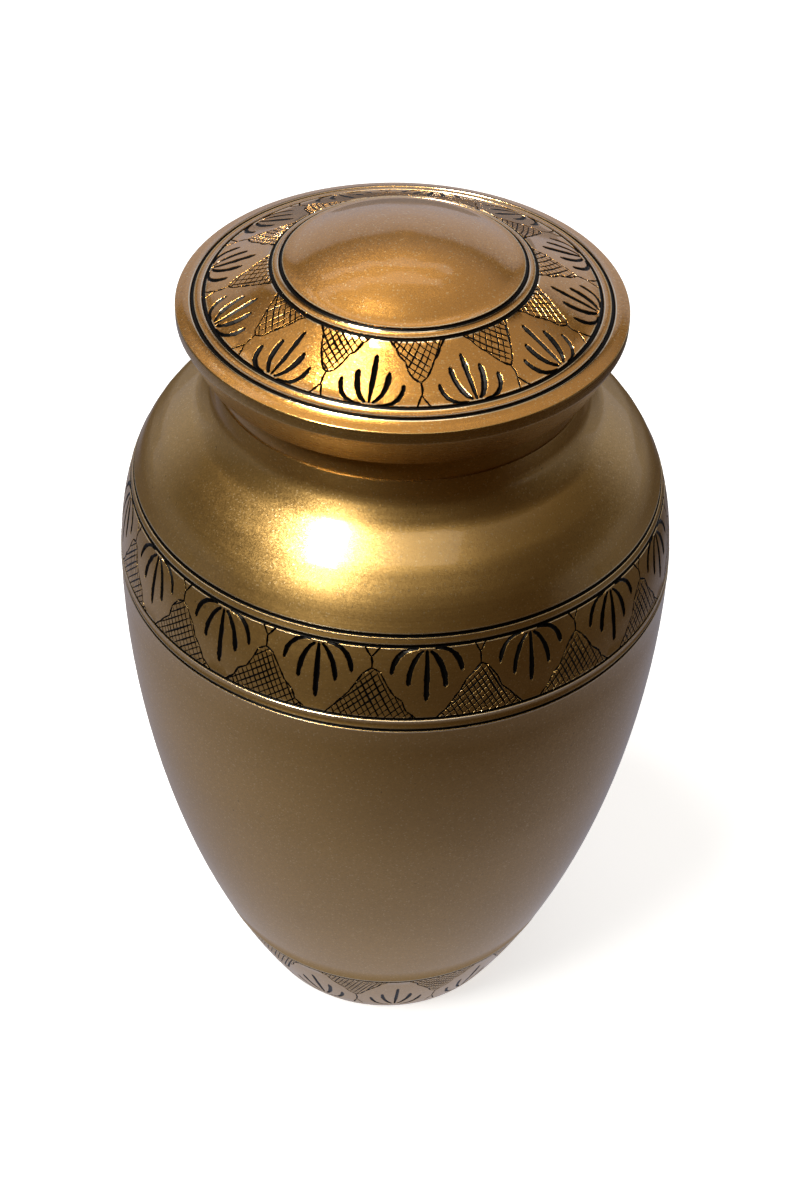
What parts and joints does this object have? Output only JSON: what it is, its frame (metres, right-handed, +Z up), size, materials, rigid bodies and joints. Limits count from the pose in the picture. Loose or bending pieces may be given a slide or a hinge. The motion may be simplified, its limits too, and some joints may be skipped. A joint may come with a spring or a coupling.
{
  "type": "cremation urn",
  "caption": "Turned brass cremation urn with a swelling body, short neck and lift-off domed lid, engraved with bands of leaves and crosshatched triangles.",
  "frame": {"origin": "centre of the foot's underside, where the urn meets the surface it stands on", "axes": "+Z up along the vertical axis of the vessel; the side seen in the picture faces -Y"},
  "size_m": [0.16, 0.16, 0.2689],
  "materials": {
    "body_brass": "satin lacquered brass with a fine metallic grain, faint turning marks and black-filled engraving",
    "lid_brass": "satin lacquered brass of a warmer gold with a fine metallic grain and black-filled engraving"
  },
  "bodies": {
    "root": {"urn_body": "body_brass", "lid": "lid_brass"}
  },
  "joints": []
}
